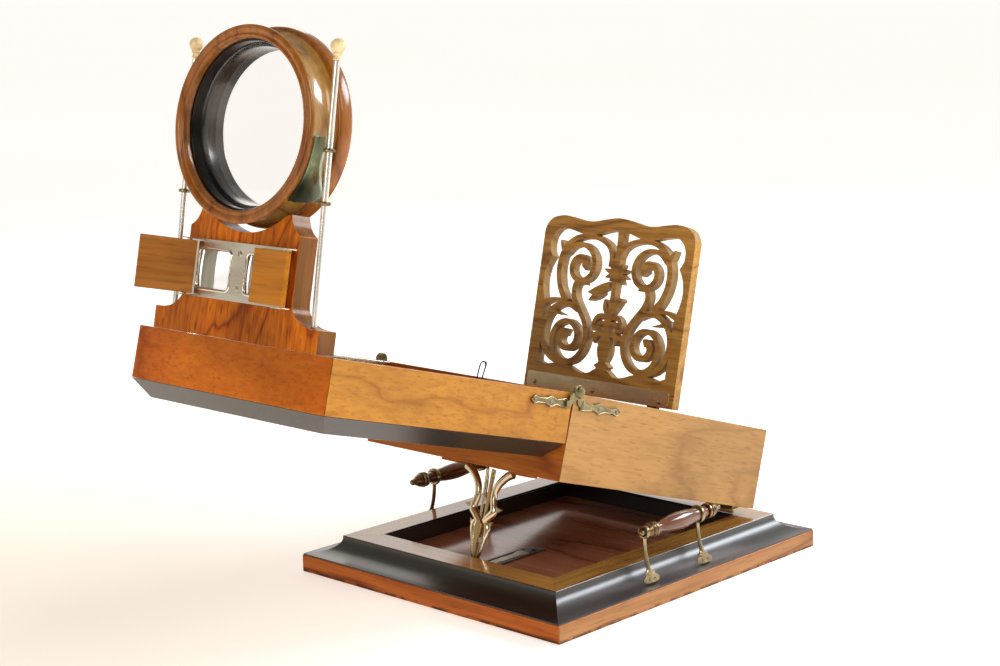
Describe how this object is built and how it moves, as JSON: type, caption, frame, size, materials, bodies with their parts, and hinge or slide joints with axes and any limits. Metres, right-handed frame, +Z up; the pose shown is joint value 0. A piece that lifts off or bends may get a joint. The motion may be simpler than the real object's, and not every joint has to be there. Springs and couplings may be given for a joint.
{
  "type": "stereo graphoscope",
  "caption": "Folding walnut table viewer with a large magnifier, twin stereo lenses, a fretwork picture rest and an ebonised base with handles.",
  "frame": {"origin": "centre of the flat underside of the base", "axes": "+Z up, -Y towards the viewer end with the lenses, +X to the right seen from the lens end"},
  "size_m": [0.36, 0.6743, 0.5744],
  "materials": {
    "walnut": "satin",
    "figured_walnut": "polished",
    "fretwork_walnut": "satin",
    "mahogany": "polished",
    "ebonised": "polished",
    "grip_wood": "polished",
    "nickel": "polished",
    "brass": "polished",
    "aged_brass": "aged",
    "verdigris_brass": "aged",
    "bone": "satin",
    "glass": "clear"
  },
  "bodies": {
    "base": {"base_moulding_front": "ebonised", "base_moulding_left": "ebonised", "base_moulding_rear": "ebonised", "base_moulding_right": "ebonised", "base_plate": "walnut", "box_hinge_left": "aged_brass", "box_hinge_right": "aged_brass", "handle_cap_front_left": "brass", "handle_cap_front_right": "brass", "handle_cap_rear_left": "brass", "handle_cap_rear_right": "brass", "handle_grip_left": "grip_wood", "handle_grip_right": "grip_wood", "handle_post_front_left": "brass", "handle_post_front_right": "brass", "handle_post_rear_left": "brass", "handle_post_rear_right": "brass", "recess_floor": "mahogany", "strut_bracket": "brass", "track_plate": "nickel"},
    "card_slide_body": {"card_clip": "nickel", "card_slide": "walnut"},
    "lens_board_body": {"eye_lens_left": "glass", "eye_lens_right": "glass", "eye_plate": "nickel", "finial_left": "bone", "finial_right": "bone", "lens_board": "figured_walnut", "ring_rod_left": "nickel", "ring_rod_right": "nickel"},
    "left_flap": {"flap_left": "walnut"},
    "right_flap": {"flap_right": "walnut"},
    "picture_panel": {"fretwork_panel": "fretwork_walnut", "ledge_plate": "aged_brass"},
    "lens_half": {"front_strap_left": "aged_brass", "front_strap_right": "aged_brass", "lens_half_bevel": "ebonised", "lens_half_bottom": "walnut", "lens_half_wall_front": "figured_walnut", "lens_half_wall_left": "walnut", "lens_half_wall_rear": "walnut", "lens_half_wall_right": "walnut", "slide_rail_left": "nickel", "slide_rail_right": "nickel"},
    "magnifier": {"magnifier_lens": "glass", "ring_body": "walnut", "ring_bracket_left": "verdigris_brass", "ring_bracket_right": "verdigris_brass", "ring_cell": "ebonised"},
    "rear_box": {"panel_rail": "walnut", "rear_box_bottom": "walnut", "rear_box_wall_front": "figured_walnut", "rear_box_wall_left": "walnut", "rear_box_wall_rear": "walnut", "rear_box_wall_right": "walnut", "rear_strap_left": "aged_brass", "rear_strap_right": "aged_brass", "strut_rest": "walnut"},
    "strut": {"strut_lyre": "brass", "strut_tongue": "aged_brass"}
  },
  "joints": [
    {"name": "box_tilt", "type": "hinge", "parent": "base", "child": "rear_box", "pos_m": [0, 0.16354, 0.04144], "axis": [1, 0, 0], "range_deg": [0, 16.7]},
    {"name": "strut_fold", "type": "hinge", "parent": "base", "child": "strut", "pos_m": [0, -0.1323, 0.0255], "axis": [-1, 0, 0], "range_deg": [0, 72]},
    {"name": "lens_half_fold", "type": "hinge", "parent": "rear_box", "child": "lens_half", "pos_m": [0, -0.12395, 0.2195], "axis": [-1, 0, 0], "range_deg": [0, 112]},
    {"name": "board_slide", "type": "slide", "parent": "lens_half", "child": "lens_board_body", "axis": [0, 0.9659, -0.2588], "range_m": [0, 0.03]},
    {"name": "card_slide", "type": "slide", "parent": "lens_half", "child": "card_slide_body", "axis": [0, -0.9659, 0.2588], "range_m": [0, 0.117]},
    {"name": "ring_slide", "type": "slide", "parent": "lens_board_body", "child": "magnifier", "axis": [0, 0.1632, 0.9866], "range_m": [0, 0.06]},
    {"name": "flap_left_turn", "type": "hinge", "parent": "lens_board_body", "child": "left_flap", "pos_m": [-0.062, -0.44048, 0.30256], "axis": [0, 0.2103, 0.9776], "range_deg": [0, 125]},
    {"name": "flap_right_turn", "type": "hinge", "parent": "lens_board_body", "child": "right_flap", "pos_m": [0.069, -0.44048, 0.30256], "axis": [0, 0.2103, 0.9776], "range_deg": [0, 125]},
    {"name": "panel_fold", "type": "hinge", "parent": "rear_box", "child": "picture_panel", "pos_m": [0.0015, 0.0674, 0.1634], "axis": [1, 0, 0], "range_deg": [0, 84]}
  ],
  "couplings": [
    {"joint": "strut_fold", "follows": "box_tilt", "ratio": 4.3114}
  ]
}
